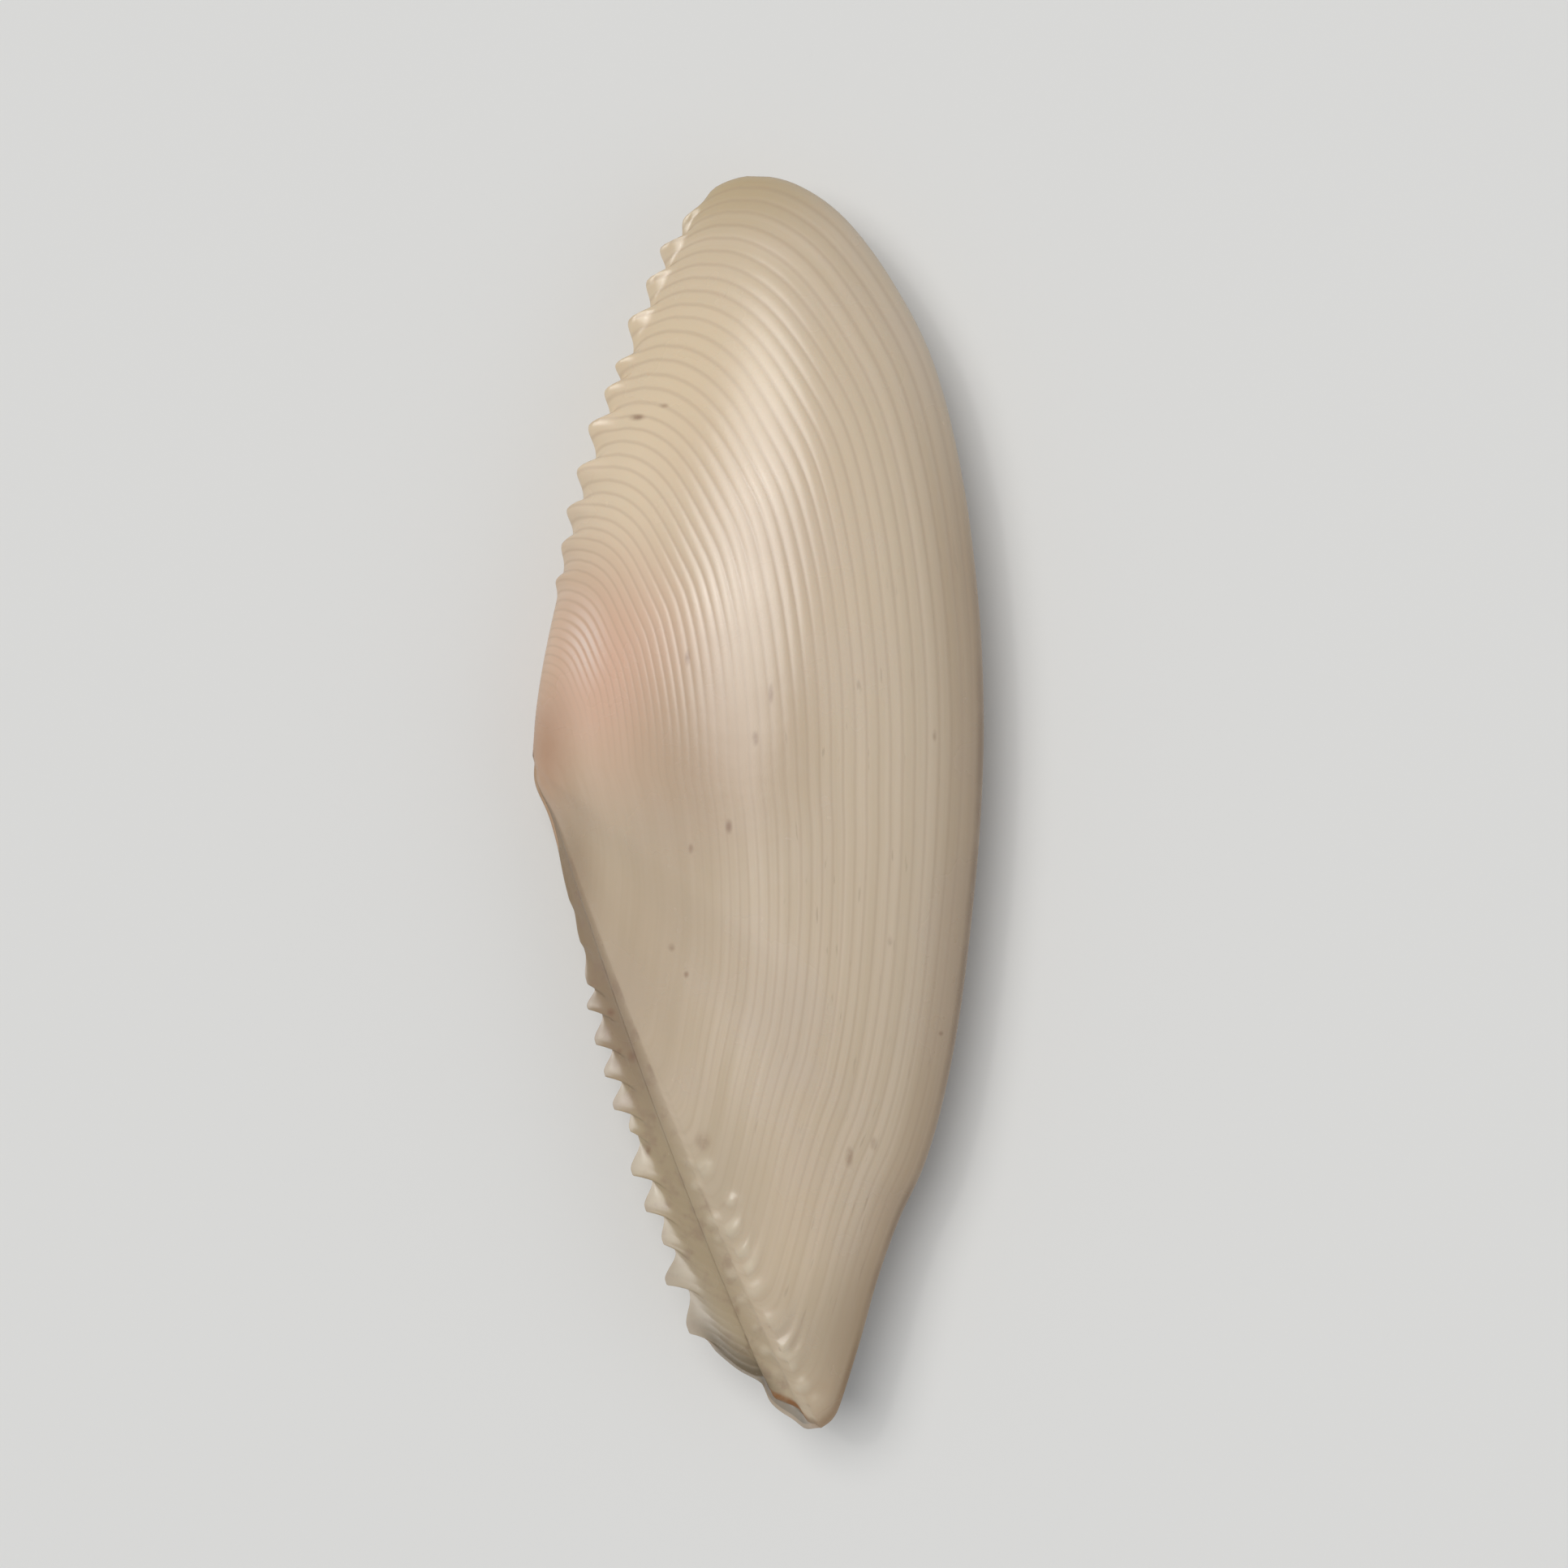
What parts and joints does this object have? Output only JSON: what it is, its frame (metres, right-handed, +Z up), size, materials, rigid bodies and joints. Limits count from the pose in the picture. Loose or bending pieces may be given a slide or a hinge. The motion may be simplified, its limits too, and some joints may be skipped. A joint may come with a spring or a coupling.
{
  "type": "tellin shell",
  "caption": "Closed pair of long narrow tellin valves with growth ridges, short spines along the hinge side and a keeled, bent rear end, lying on its side.",
  "frame": {"origin": "middle of the footprint, at the level of what the lower valve lies on", "axes": "+Y along the shell towards its rounded front end, +X towards the ventral edge and away from the hinge, +Z up through the right valve"},
  "size_m": [0.0252, 0.07, 0.0114],
  "materials": {
    "shell": "warm cream shell with a soft porcelain gloss",
    "ligament": "dry brown horn, dull"
  },
  "bodies": {
    "root": {"right_valve": "shell", "left_valve": "shell", "ligament": "ligament"}
  },
  "joints": []
}
